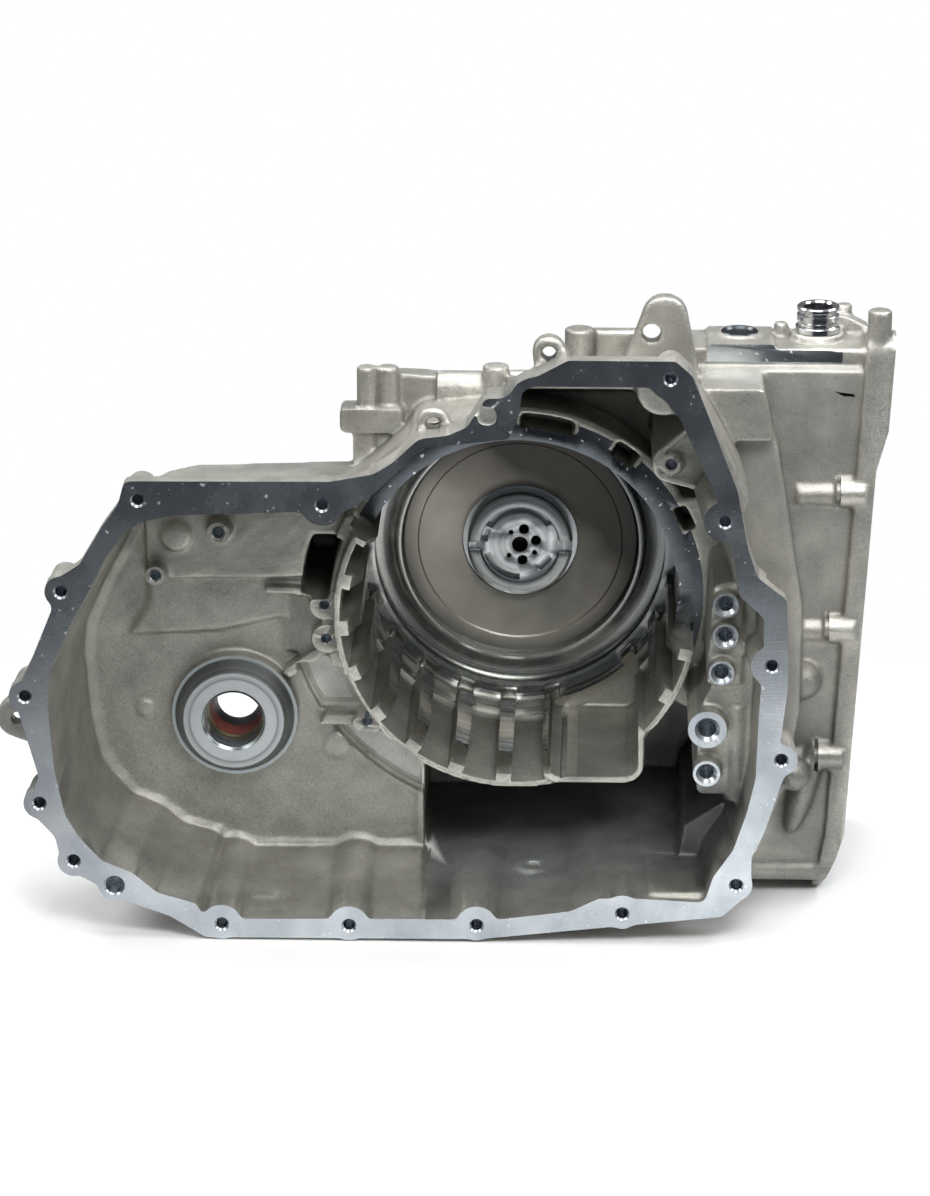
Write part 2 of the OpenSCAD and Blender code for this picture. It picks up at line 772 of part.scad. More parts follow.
module axle_seal_case() {
    color("goldenrod") seal_ring([[seal_face_r, seal_start], [seal_out_r, seal_start],
                                  [seal_out_r, seal_start + seal_w], [seal_out_r - seal_shell, seal_start + seal_w],
                                  [seal_out_r - seal_shell, seal_start + seal_shell],
                                  [seal_face_r, seal_start + seal_shell]]);
}

module axle_seal_body() {
    color("firebrick") seal_ring([[seal_face_r, seal_start + seal_shell],
                                  [seal_out_r - seal_shell, seal_start + seal_shell],
                                  [seal_out_r - seal_shell, seal_start + 5], [lip_root_r + 4, seal_start + 6],
                                  [lip_root_r + 2.6, lip_y], [lip_root_r, lip_y]]);
}

module axle_seal_lip() {
    color("black") seal_ring([[lip_root_r, lip_y], [lip_root_r + 2.6, lip_y], [spring_r, spring_y - 2],
                              [spring_r, spring_y + 2], [lip_r + 1.2, spring_y + 5],
                              [lip_r, spring_y + 5], [lip_r + 0.4, spring_y]]);
}

module axle_seal_spring() {
    color("silver") translate([diff_at[0], spring_y, diff_at[1]]) rotate([-90, 0, 0])
        rotate_extrude($fn = 96) translate([spring_r, 0]) circle(r = spring_wire, $fn = 24);
}

// ---- pieces pressed in from above ----

module line_fitting() {
    color("silver") translate([fitting_at[0], fitting_at[1], collar_z]) rotate_extrude() polygon([
        [fitting_d / 2 - 4, -fitting_seat], [fitting_d / 2 - 1, -fitting_seat], [fitting_d / 2 - 1, 0],
        [fitting_d / 2 + 0.8, 0], [fitting_d / 2 + 0.8, fitting_h * 0.2], [fitting_d / 2 - 0.8, fitting_h * 0.27],
        [fitting_d / 2 - 0.8, fitting_h * 0.38], [fitting_d / 2, fitting_h * 0.44],
        [fitting_d / 2, fitting_h * 0.66], [fitting_d / 2 - 1.4, fitting_h * 0.72],
        [fitting_d / 2 - 1.4, fitting_h * 0.8], [fitting_d / 2, fitting_h * 0.86],
        [fitting_d / 2, fitting_h * 0.96], [fitting_d / 2 - 0.7, fitting_h],
        [fitting_d / 2 - 3, fitting_h], [fitting_d / 2 - 4, fitting_h - 1]]);
}

module cup_plug() {
    color("silver") translate([plug_at[0], plug_at[1], plug_top]) rotate_extrude() polygon([
        [0, -3.5], [0, -2], [plug_d / 2 - 3, -2], [plug_d / 2 - 1.5, -0.5], [plug_d / 2 - 0.5, -0.5],
        [plug_d / 2, -1], [plug_d / 2, -6], [plug_d / 2 - 1.5, -6], [plug_d / 2 - 1.5, -3.5]]);
}

case();
axle_seal_case();
axle_seal_body();
axle_seal_lip();
axle_seal_spring();
line_fitting();
cup_plug();
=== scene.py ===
import math

import bmesh
import bpy
import numpy as np
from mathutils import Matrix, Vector


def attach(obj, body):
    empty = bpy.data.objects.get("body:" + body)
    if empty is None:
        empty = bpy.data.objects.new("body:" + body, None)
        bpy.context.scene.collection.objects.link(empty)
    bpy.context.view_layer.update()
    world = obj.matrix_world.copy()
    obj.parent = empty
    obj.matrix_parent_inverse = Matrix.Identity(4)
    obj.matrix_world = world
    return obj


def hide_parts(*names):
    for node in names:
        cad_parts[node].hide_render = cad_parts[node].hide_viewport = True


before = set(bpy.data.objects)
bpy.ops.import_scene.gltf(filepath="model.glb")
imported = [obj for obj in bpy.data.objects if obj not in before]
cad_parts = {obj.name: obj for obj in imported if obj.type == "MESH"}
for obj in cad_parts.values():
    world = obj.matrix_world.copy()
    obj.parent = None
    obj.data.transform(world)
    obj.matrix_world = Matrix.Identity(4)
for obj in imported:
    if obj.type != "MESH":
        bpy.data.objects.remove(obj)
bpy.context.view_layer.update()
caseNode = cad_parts["case"]
mm = 0.001

# places on the casting, as X and Z in millimetres from the barrel's axis
places = {
    "flangeBolts": [(-226, 95), (-115, 93), (93, 174), (127, 85), (157, -7), (164, -68), (138, -151),
                    (68, -171), (-22, -180), (-101, -181), (-180, -181), (-271, -140), (-291, -102),
                    (-298, -32), (-274, 36)],
    "dowel": (-246, -156),
    "axle": (-176.5, -74),
    # X, Z, radius and radius of the hole
    "wallBosses": [(129, 24, 8, 4.25), (129, 4, 8, 4.25), (127, -20, 8, 4.25), (119, -57, 12, 5.5),
                   (119, -86, 8.5, 4.25)],
    "rimBolts": [(-119, 2), (-118, -20), (-93, -75)],
    # X, Z, depth of the face and radius
    "padBosses": [(-184, 50.4, 71, 7), (-224, 20.8, 75, 6)],
    "ears": [(20.4, 181.9), (-49.1, 136.8)],
    "pad": (95, 102),
}


def only(obj):
    bpy.ops.object.select_all(action="DESELECT")
    obj.select_set(True)
    bpy.context.view_layer.objects.active = obj
    return obj


def coords(obj):
    out = np.zeros(len(obj.data.vertices) * 3, np.float32)
    obj.data.vertices.foreach_get("co", out)
    return out.reshape(-1, 3)


def setCoords(obj, co):
    obj.data.vertices.foreach_set("co", np.ascontiguousarray(co, np.float32).ravel())
    obj.data.update()


def edgeEnds(obj):
    ends = np.zeros(len(obj.data.edges) * 2, np.int32)
    obj.data.edges.foreach_get("vertices", ends)
    return ends.reshape(-1, 2)


def copyNode(node, name, material):
    obj = bpy.data.objects.new(name, node.data.copy())
    bpy.context.scene.collection.objects.link(obj)
    only(obj)
    bpy.ops.object.mode_set(mode="EDIT")
    bpy.ops.mesh.select_all(action="SELECT")
    bpy.ops.mesh.remove_doubles(threshold=1e-6)
    bpy.ops.mesh.normals_make_consistent(inside=False)
    bpy.ops.object.mode_set(mode="OBJECT")
    for layer in ("custom_normal", "sharp_face", "sharp_edge"):
        if layer in obj.data.attributes:
            obj.data.attributes.remove(obj.data.attributes[layer])
    obj.data.materials.clear()
    obj.data.materials.append(material)
    return obj


def applyAll(obj):
    only(obj)
    for modifier in list(obj.modifiers):
        bpy.ops.object.modifier_apply(modifier=modifier.name)


def joined(objs, name):
    bpy.ops.object.select_all(action="DESELECT")
    for obj in objs:
        obj.select_set(True)
    bpy.context.view_layer.objects.active = objs[0]
    bpy.ops.object.join()
    out = bpy.context.view_layer.objects.active
    out.name = name
    bpy.ops.object.transform_apply(location=True, rotation=True, scale=True)
    return out


def cut(obj, cutter, operation="DIFFERENCE", keep=False):
    m = obj.modifiers.new("cut", "BOOLEAN")
    m.object = cutter
    m.operation = operation
    m.solver = "MANIFOLD"
    m.material_mode = "TRANSFER"
    applyAll(obj)
    if not keep:
        bpy.data.objects.remove(cutter)


def placed(obj, at, turn, material):
    obj.rotation_euler = [math.radians(a) for a in turn]
    obj.location = [v * mm for v in at]
    only(obj)
    bpy.ops.object.transform_apply(location=True, rotation=True, scale=True)
    obj.data.materials.append(material)
    return obj


def rodY(at, y0, y1, r, r2=None, sides=48, *, material):
    # a round cutter along Y, or a cone when the far radius is given
    depth = (y1 - y0) * mm
    if r2 is None:
        bpy.ops.mesh.primitive_cylinder_add(vertices=sides, radius=r * mm, depth=depth)
    else:
        bpy.ops.mesh.primitive_cone_add(vertices=sides, radius1=r * mm, radius2=r2 * mm, depth=depth)
    return placed(bpy.context.object, (at[0], (y0 + y1) / 2, at[1]), (-90, 0, 0), material)


def rodX(at, x0, x1, r, material):
    bpy.ops.mesh.primitive_cylinder_add(vertices=32, radius=r * mm, depth=(x1 - x0) * mm)
    return placed(bpy.context.object, ((x0 + x1) / 2, at[0], at[1]), (0, 90, 0), material)


def boxAt(lo, hi, material):
    bpy.ops.mesh.primitive_cube_add(size=1)
    obj = bpy.context.object
    obj.scale = [(b - a) * mm for a, b in zip(lo, hi)]
    return placed(obj, [(a + b) / 2 for a, b in zip(lo, hi)], (0, 0, 0), material)


def prismY(points, y0, y1, material):
    # an outline in X and Z, extruded along Y
    bpy.ops.mesh.primitive_circle_add(vertices=len(points), fill_type="NGON")
    obj = only(bpy.context.object)
    setCoords(obj, np.array([(x * mm, y0 * mm, z * mm) for x, z in points]))
    bpy.ops.object.mode_set(mode="EDIT")
    bpy.ops.mesh.select_all(action="SELECT")
    bpy.ops.mesh.extrude_region_move(TRANSFORM_OT_translate={"value": (0, (y1 - y0) * mm, 0)})
    bpy.ops.mesh.select_all(action="SELECT")
    bpy.ops.mesh.normals_make_consistent(inside=False)
    bpy.ops.object.mode_set(mode="OBJECT")
    obj.data.materials.append(material)
    return obj


class Field:
    # one socket of a shader tree, used like a number
    def __init__(self, shader, socket):
        self.shader = shader
        self.socket = socket

    def __add__(self, other):
        return self.shader.math("ADD", self, other)

    def __radd__(self, other):
        return self.shader.math("ADD", other, self)

    def __sub__(self, other):
        return self.shader.math("SUBTRACT", self, other)

    def __rsub__(self, other):
        return self.shader.math("SUBTRACT", other, self)

    def __mul__(self, other):
        return self.shader.math("MULTIPLY", self, other)

    def __rmul__(self, other):
        return self.shader.math("MULTIPLY", other, self)

    def __pow__(self, other):
        return self.shader.math("POWER", self, other)

    def ramp(self, low, high, start=0.0, end=1.0):
        sockets = {"Value": self, "From Min": low, "From Max": high, "To Min": start, "To Max": end}
        found = self.shader.node("ShaderNodeMapRange", {"clamp": True}, sockets)
        return Field(self.shader, found.outputs["Result"])


class Shader:
    def __init__(self, name, world=False):
        kinds = bpy.data.worlds if world else bpy.data.materials
        self.material = kinds.new(name)
        self.material.use_nodes = True
        self.tree = self.material.node_tree
        self.tree.nodes.clear()
        space = "Generated" if world else "Object"  # in a world, Generated is the direction looked in
        self.place = Field(self, self.node("ShaderNodeTexCoord").outputs[space])

    def node(self, kind, settings=None, sockets=None):
        found = self.tree.nodes.new(kind)
        for key, value in (settings or {}).items():
            setattr(found, key, value)
        for key, value in (sockets or {}).items():
            self.feed(found.inputs[key], value)
        return found

    def feed(self, socket, value):
        if isinstance(value, Field):
            self.tree.links.new(value.socket, socket)
        else:
            socket.default_value = value

    def math(self, operation, a, b):
        found = self.node("ShaderNodeMath", {"operation": operation}, {0: a, 1: b})
        return Field(self, found.outputs[0])

    def noise(self, scale, detail=2.0, rough=0.5, vector=None):
        sockets = {"Vector": vector or self.place, "Scale": scale, "Detail": detail, "Roughness": rough}
        return Field(self, self.node("ShaderNodeTexNoise", {}, sockets).outputs[0])

    def mix(self, share, a, b, blend="MIX"):
        settings = {"data_type": "RGBA", "blend_type": blend}
        return Field(self, self.node("ShaderNodeMix", settings, {0: share, 6: a, 7: b}).outputs[2])

    def parts(self):
        found = self.node("ShaderNodeSeparateXYZ", {}, {"Vector": self.place})
        return [Field(self, found.outputs[k]) for k in "XYZ"]

    def stretched(self, scale):
        found = self.node("ShaderNodeMapping", {}, {"Vector": self.place, "Scale": scale})
        return Field(self, found.outputs["Vector"])

    def attribute(self, name):
        found = self.node("ShaderNodeAttribute", {"attribute_name": name})
        return Field(self, found.outputs["Fac"])

    def cameraRay(self):
        return Field(self, self.node("ShaderNodeLightPath").outputs["Is Camera Ray"])

    def bump(self, height, distance, normal=None):
        sockets = {"Height": height, "Distance": distance, "Strength": 1.0}
        if normal:
            sockets["Normal"] = normal
        return Field(self, self.node("ShaderNodeBump", {}, sockets).outputs["Normal"])

    def surface(self, kind, sockets):
        return Field(self, self.node(kind, {}, sockets).outputs[0])

    def output(self, surface, kind="ShaderNodeOutputMaterial"):
        self.node(kind, {}, {0: surface})
        return self.material

    def mixSurfaces(self, share, a, b):
        return self.surface("ShaderNodeMixShader", {0: share, 1: a, 2: b})

    def metal(self, color, metallic, roughness, normal):
        return self.output(self.surface("ShaderNodeBsdfPrincipled", {
            "Base Color": color, "Metallic": metallic, "Roughness": roughness, "Normal": normal}))


def darker(color, share):
    return [c * share for c in color[:3]] + [1]


castLook = {
    "outside": (0.46, 0.45, 0.41, 1),
    # the inside tone is a darker copy of the outside, painted shade in the cavities
    "inside": (0.4, 0.395, 0.355, 1),
    # the deep tone is painted shade low in the sump, darker and cooler than the inside
    "deep": (0.33, 0.345, 0.335, 1),
    # the next tone is painted light on the window floors left of the barrel
    "paintedLight": (1.0, 0.99, 0.95, 1),
    # the next tone is painted shade on the cast faces between the barrel's lands
    "slot": (0.12, 0.11, 0.085, 1),
    "grain": 1500,
    "pits": 420,
    "clouds": 38,
    "waves": 16,
    "patches": 7,
    "grainDepth": 0.00012,
    "cloudDepth": 0.0015,
    "waveDepth": 0.003,
    # darkest and brightest that each makes the metal
    "grainTone": (0.68, 1.32),
    "cloudTone": (0.8, 1.18),
    "patchTone": (0.88, 1.1),
    "pitTone": (0.82, 1.0),
    "edgeHighlightAndShade": (0.55, 1.45),
    "metallic": 0.8,
    "roughness": 0.44,
}


def castMetal():
    look = castLook
    s = Shader("castMetal")
    fine = s.noise(look["grain"], 2.0, 0.6)
    pitted = s.noise(look["pits"], 3.0, 0.6)
    cloudy = s.noise(look["clouds"], 3.0, 0.55)
    broad = s.noise(look["patches"])
    # brighter on outer edges as a painted highlight, darker in corners as painted shade
    edge = s.attribute("edge")
    paintedLight = s.attribute("paintedLight")
    base = s.mix(s.attribute("inner"), look["outside"], look["inside"])
    base = s.mix(s.attribute("sump"), base, look["deep"])
    base = s.mix(paintedLight * 0.9, base, look["paintedLight"])
    base = s.mix(s.attribute("slot") * 0.8, base, look["slot"])
    # the last factor darkens the metal as painted shade
    shade = (fine.ramp(0.25, 0.75, *look["grainTone"]) * cloudy.ramp(0.3, 0.7, *look["cloudTone"])
             * broad.ramp(0.3, 0.7, *look["patchTone"]) * pitted.ramp(0.3, 0.42, *look["pitTone"])
             * edge.ramp(-1, 1, *look["edgeHighlightAndShade"]) * (1 - s.attribute("paintedShade")))
    rough = (fine.ramp(0.3, 0.7, look["roughness"] - 0.06, look["roughness"] + 0.12) + cloudy * 0.06
             - edge.ramp(0, 1, 0, 0.12))
    normal = s.bump(fine + pitted * 1.4, look["grainDepth"])
    normal = s.bump(cloudy, look["cloudDepth"], normal)
    normal = s.bump(s.noise(look["waves"]), look["waveDepth"], normal)
    return s.metal(s.mix(1.0, base, shade, "MULTIPLY"), look["metallic"] - paintedLight * 0.8, rough, normal)


milledLook = {
    # the second pair is a dark copy of the milled metal, painted shade on the flat ring
    "colors": {"milledMetal": [(0.62, 0.66, 0.69, 1), (0.42, 0.46, 0.5, 1)],
               "paintedShadeRingMetal": [(0.14, 0.155, 0.17, 1), (0.09, 0.1, 0.11, 1)]},
    "nick": (0.85, 0.87, 0.9, 1),
    "roughness": 0.24,
    "marks": 60,
    "arcs": 900,
    "smears": 22,
    "nicks": 260,
    "markDepth": 0.00002,
}


def milledMetal(name):
    look = milledLook
    clean, worn = look["colors"][name]
    s = Shader(name)
    marks = s.noise(look["marks"], 3.0, 0.6, s.stretched((1, 1, 24)))
    arcs = s.noise(look["arcs"], 2.0, 0.5, s.stretched((0.04, 1, 1)))
    smear = s.noise(look["smears"], 4.0, 0.6)
    nicked = s.noise(look["nicks"], 1.0, 0.4).ramp(0.7, 0.74)
    color = s.mix(smear.ramp(0.35, 0.7), clean, worn)
    color = s.mix(nicked, color, look["nick"])
    rough = smear.ramp(0.3, 0.7, look["roughness"] - 0.06, look["roughness"] + 0.1) + nicked * 0.2
    return s.metal(color, 1.0, rough, s.bump(marks + arcs * 0.7, look["markDepth"]))


# rings is the scale of the tool's marks, and the last entry how strong the painted shade towards the upper
# right is
turnedMarks = {"bands": 170, "smears": 35, "upperRightShadeColor": (0.09, 0.1, 0.11, 1), "upperRightShadeBand": (-0.06, 0.08)}
turnedLook = {
    "turnedMetal": {"centre": (0, 0), "color": (0.52, 0.53, 0.505, 1), "roughness": 0.17, "rings": 2600,
                    "depth": 0.00003, "upperRightShade": 0.8},
    "turnedAxle": {"centre": places["axle"], "color": (0.35, 0.385, 0.39, 1), "roughness": 0.2, "rings": 2600,
                   "depth": 0.00003, "upperRightShade": 0},
    "hubMetal": {"centre": (0, 0), "color": (0.66, 0.69, 0.7, 1), "roughness": 0.26, "rings": 1500,
                 "depth": 0.000008, "upperRightShade": 0},
    "seatMetal": {"centre": places["axle"], "color": (0.52, 0.55, 0.56, 1), "roughness": 0.36, "rings": 1500,
                  "depth": 0.00001, "upperRightShade": 0},
}


def turnedMetal(name):
    look = turnedLook[name]
    s = Shader(name)
    x, y, z = s.parts()
    dx = x - look["centre"][0] * mm
    dz = z - look["centre"][1] * mm
    radius = (dx * dx + dz * dz) ** 0.5
    line = Field(s, s.node("ShaderNodeCombineXYZ", {}, {"X": radius + y * 0.9, "Y": y * 0.02}).outputs[0])
    groove = s.noise(look["rings"], 3.0, 0.65, line)
    band = s.noise(turnedMarks["bands"], 2.0, 0.5, line)
    smear = s.noise(turnedMarks["smears"], 3.0, 0.6)
    tone = s.mix(band.ramp(0.42, 0.58), look["color"], darker(look["color"], 0.5))
    tone = s.mix(smear.ramp(0.5, 0.75, 0.0, 0.5), tone, darker(look["color"], 0.8))
    # painted shade darkens the bore towards the upper right
    if look["upperRightShade"]:
        upperRightShade = (x * 0.75 + z * 0.65).ramp(*turnedMarks["upperRightShadeBand"], 0.0, look["upperRightShade"])
        tone = s.mix(upperRightShade, tone, turnedMarks["upperRightShadeColor"])
    rough = groove.ramp(0.3, 0.7, look["roughness"] - 0.05, look["roughness"] + 0.1) + smear * 0.08
    return s.metal(tone, 1.0, rough, s.bump(groove + band, look["depth"]))


discLook = {
    "dull": (0.5, 0.47, 0.4, 1),
    "bright": (0.7, 0.66, 0.58, 1),
    "streak": (0.3, 0.29, 0.26, 1),
    # rim and left are painted shade at the disc's edge and far left
    "rim": (0.1, 0.1, 0.1, 1),
    "left": (0.12, 0.115, 0.1, 1),
    "upperRightShade": (0.04, 0.038, 0.035, 1),
    # where each begins and ends in metres, and its strength there
    "rimShadeBand": (0.066, 0.0755, 0.0, 0.7),
    "leftShadeBand": (-0.07, -0.035, 0.3, 0.0),
    "upperRightShadeBand": (-0.045, 0.035, 0.0, 0.97),
    "grain": 1100,
    "clouds": 26,
    "streaks": 9,
    "metallic": 0.85,
    "roughness": (0.34, 0.46),
    "grainDepth": 0.00007,
}


def discMetal():
    look = discLook
    s = Shader("discMetal")
    x, y, z = s.parts()
    radius = (x * x + z * z) ** 0.5
    fine = s.noise(look["grain"], 2.0, 0.6)
    cloudy = s.noise(look["clouds"], 4.0, 0.6)
    streak = s.noise(look["streaks"], 3.0, 0.6)
    # painted shade darkens the disc towards the upper right
    upperRightShade = (x * 0.7 + z * 0.7 + (streak - 0.5) * 0.06).ramp(*look["upperRightShadeBand"])
    base = s.mix(cloudy.ramp(0.3, 0.7), look["dull"], look["bright"])
    base = s.mix(streak.ramp(0.45, 0.7, 0.0, 0.6), base, look["streak"])
    # painted shade darkens the disc at its rim and at its far left
    base = s.mix(radius.ramp(*look["rimShadeBand"]), base, look["rim"])
    base = s.mix(x.ramp(*look["leftShadeBand"]), base, look["left"])
    base = s.mix(upperRightShade, base, look["upperRightShade"])
    normal = s.bump(fine + cloudy * 2.0, look["grainDepth"])
    return s.metal(base, look["metallic"], fine.ramp(0.3, 0.7, *look["roughness"]), normal)


def plainMetal(name, color, roughness, metallic=1.0, grain=700, depth=0.00002):
    s = Shader(name)
    fine = s.noise(grain, 3.0, 0.6)
    cloudy = s.noise(60, 3.0, 0.6)
    tone = s.mix(cloudy.ramp(0.3, 0.7), color, darker(color, 0.78))
    rough = fine.ramp(0.3, 0.7, roughness - 0.05, roughness + 0.1)
    return s.metal(tone, metallic, rough, s.bump(fine, depth))


cast = castMetal()
milled = milledMetal("milledMetal")
# a dark copy of the milled metal, painted shade for the flat ring
annulus = milledMetal("paintedShadeRingMetal")
turned = turnedMetal("turnedMetal")
turnedAxle = turnedMetal("turnedAxle")
# a pale, less metallic copy of the cast metal, painted light for the window floors
paintedLightCast = plainMetal("paintedLightCast", (0.74, 0.73, 0.67, 1), 0.5, 0.25, 900, 0.0002)
disc = discMetal()
hub = turnedMetal("hubMetal")
seat = turnedMetal("seatMetal")
# near black, painted shade in the hub's ports, the barrel's centre and the notch in the side wall
blackShade = plainMetal("blackShadeMetal", (0.035, 0.035, 0.035, 1), 0.4, 0.8)
print("metals ready")


# sizes on the casting are in millimetres, and stock is the metal left on for machining
bodyLook = {"voxel": 1.4, "smooth": 6, "triangles": 190000, "stock": 4.0, "coneStock": 2.5, "railStock": 3,
            "ringRadius": 111.0, "edgeAngle": 34}
rimRadius = 104
rail = {"x": 215.8, "lean": math.tan(math.radians(3.2)), "rise": 5.5, "tuck": 6}


# depths from and to, then the radius, and a sink's radius at its far end
holes = {
    "flange": {"drill": (-3, 26, 3.4), "sink": (-0.4, 1.5, 5.0, 3.1)},
    "dowel": {"drill": (-3, 16, 5.5), "sink": (-0.4, 1.2, 6.9, 5.3)},
    "wall": {"face": (12, 22), "drill": (15, 47), "sink": (21.6, 24.2)},
    "rim": {"face": (66, 76, 11), "drill": (70, 92, 2.8), "sink": (75.7, 76.9, 3.9, 2.7)},
    "axle": {"face": (60, 83, 43), "seat": (73, 84, 31.5, 38.1), "drill": (60, 95, 18.3),
             "sink": (72.6, 74.6, 20.6, 18.2)},
    "ears": {"drill": (20, 37, 4.25)},
    "pad": {"drill": (52, 72, 3.4)},
}


def partWay(values, start, length):
    # 0 at the start, 1 a length further on
    return np.clip((values - start) / length, 0, 1)


def railFace(z):
    # X of the cover rail's face at height z
    foot = rail["tuck"] * partWay(-z, 149, 25) + rail["tuck"] * partWay(-z, 174, 16)
    return rail["x"] + z * rail["lean"] + rail["rise"] * partWay(z, 92, 26) - foot


def addStock(obj):
    # extra metal on every face that is machined later
    co = coords(obj) / mm
    x, y, z = co[:, 0].copy(), co[:, 1].copy(), co[:, 2].copy()
    faces = [(b, b[2] + 0.3, holes["wall"]["face"][1]) for b in places["wallBosses"]]
    faces += [(b, 9.3, holes["rim"]["face"][1]) for b in places["rimBolts"]]
    faces += [(b, b[3] + 0.3, b[2]) for b in places["padBosses"]]
    faces.append((places["axle"], 31.8, holes["axle"]["seat"][0]))
    co[np.abs(y) < 0.01, 1] -= bodyLook["stock"]
    for at, radius, depth in faces:
        near = (np.hypot(x - at[0], z - at[1]) < radius) & (np.abs(y - depth) < 0.01)
        co[near, 1] -= bodyLook["stock"]
    # the cone round the axle's bore grows outwards
    ax, az = places["axle"]
    away = np.hypot(x - ax, z - az)
    near = (away > 31) & (away < 37.8) & (y > 72.9) & (y < 83.1)
    grown = 1 + bodyLook["coneStock"] / away[near]
    co[near, 0] = ax + (x[near] - ax) * grown
    co[near, 2] = az + (z[near] - az) * grown
    face = np.array([railFace(v) for v in z])
    co[(np.abs(x - face) < 0.02) & (y > 70), 0] += bodyLook["railStock"]
    setCoords(obj, co * mm)


def sumpPlate(x0, x1, y0, y1, frontTop, backTop):
    # a plate whose top changes height from front to back
    obj = boxAt((x0, y0, frontTop - 6), (x1, y1, frontTop), cast)
    co = coords(obj)
    co[(co[:, 2] > (frontTop - 3) * mm) & (co[:, 1] > (y0 + y1) / 2 * mm), 2] = backTop * mm
    setCoords(obj, co)
    return obj


castFormLook = {
    "sumpPlates": [(84, 117, 5, 61, -158.4, -156.4), (80, 106, 66, 128, -156.6, -152.8)],
    "bulgeAt": (181, 86, -118),
    "bulgeSize": (9, 12, 34),
    "bulgeTurn": 14,
    "wallMark": [(-164, 27, -180), (-149, 40, -172.6)],
    "roundMark": (-234, -74),
    "plugPad": [(117, 87.6, 160), (157, 131, 169.6)],
    "thinWall": [(129.8, 88, -116), (133.6, 114, -98)],
}


def castForms():
    # small forms on the casting, and a plate that keeps the thin wall beside the side chamber whole
    look = castFormLook
    forms = [sumpPlate(*plate) for plate in look["sumpPlates"]]
    bpy.ops.mesh.primitive_uv_sphere_add(segments=32, ring_count=20, radius=1)
    bulge = bpy.context.object
    bulge.scale = [v * mm for v in look["bulgeSize"]]
    forms.append(placed(bulge, look["bulgeAt"], (0, look["bulgeTurn"], 0), cast))
    forms.append(boxAt(*look["wallMark"], cast))
    forms.append(rodY(look["roundMark"], 93.2, 97, 5, material=cast))
    forms.append(boxAt(*look["plugPad"], cast))
    forms.append(boxAt(*look["thinWall"], cast))
    return forms


def softCast(obj):
    # rounds every edge as a mould does
    m = obj.modifiers.new("voxels", "REMESH")
    m.mode = "VOXEL"
    m.voxel_size = bodyLook["voxel"] * mm
    m = obj.modifiers.new("soften", "SMOOTH")
    m.iterations = bodyLook["smooth"]
    m.factor = 0.5
    applyAll(obj)
    count = sum(len(p.vertices) - 2 for p in obj.data.polygons)
    m = obj.modifiers.new("thin", "DECIMATE")
    m.ratio = bodyLook["triangles"] / count
    applyAll(obj)
    print("casting softened", count, "->", len(obj.data.polygons))


body = copyNode(caseNode, "castBody", cast)
ring = copyNode(caseNode, "barrelRing", cast)
addStock(body)
body = joined([body] + castForms(), "castBody")
softCast(body)


# the flat ring's arc is in degrees, and a window's low and high are heights
machining = {
    "annulus": {"inner": 108, "outer": 117, "face": 108.1, "arc": range(-30, 99, 4)},
    "windows": [{"low": -72.6, "high": -38.4, "outer": 142.6}, {"low": -150, "high": -81.4, "outer": 141.6}],
    "windowEnd": 59.6,
    "windowFloor": 105.9,
    "railHeights": (-260, -190, -174, -149, 92, 118, 260),
    "earGrooves": (77, -12, -97),
    "deck": [(116, 80, 158.5), (199, 89.3, 171)],
    "wallNick": [(194.5, 141.6), (206, 140.2), (207, 138.4), (200, 138.6)],
}


def cutAll(obj, cutters, name):
    cut(obj, joined(cutters, name))


def faceBosses(obj):
    # neighbours are cut apart from each other, because cutters in one set don't overlap
    bosses = places["wallBosses"]
    depth = holes["wall"]["face"]
    cutAll(obj, [rodY(b, *depth, b[2] + 3, material=milled) for b in bosses[0::2]], "facing")
    facing = [rodY(b, *depth, b[2] + 3, material=milled) for b in bosses[1::2]]
    facing += [rodY(b, *holes["rim"]["face"], material=cast) for b in places["rimBolts"][::2]]
    facing += [rodY(b, b[2] - 9, b[2], b[3] + 2, material=cast) for b in places["padBosses"]]
    cutAll(obj, facing, "facing")
    around = rodY(places["axle"], *holes["axle"]["face"], sides=128, material=turnedAxle)
    cut(around, rodY(places["axle"], *holes["axle"]["seat"], sides=128, material=seat))
    cut(obj, around)


def flatRing(obj):
    # the plain ring beside the barrel's mouth, in a dark copy of the milled metal painted as shade
    look = machining["annulus"]
    arc = [math.radians(a) for a in look["arc"]]
    sector = [(look["outer"] * math.cos(a), look["outer"] * math.sin(a)) for a in arc]
    sector += [(look["inner"] * math.cos(a), look["inner"] * math.sin(a)) for a in reversed(arc)]
    cut(obj, prismY(sector, 100, look["face"], annulus))


def paintedLightWindows(obj):
    # windows left of the barrel, their floors painted light
    for look in machining["windows"]:
        outline = []
        for radius, way in ((look["outer"], 1), (rimRadius + 0.4, -1)):
            first = math.asin(-look["high"] / radius)
            last = math.acos(machining["windowEnd"] / radius)
            if -look["low"] < radius:
                last = min(last, math.asin(-look["low"] / radius))
            arc = [first + (last - first) * i / 12 for i in range(13)][::way]
            outline += [(-radius * math.cos(a), -radius * math.sin(a)) for a in arc]
        cut(obj, prismY(outline, 60, machining["windowFloor"], paintedLightCast))


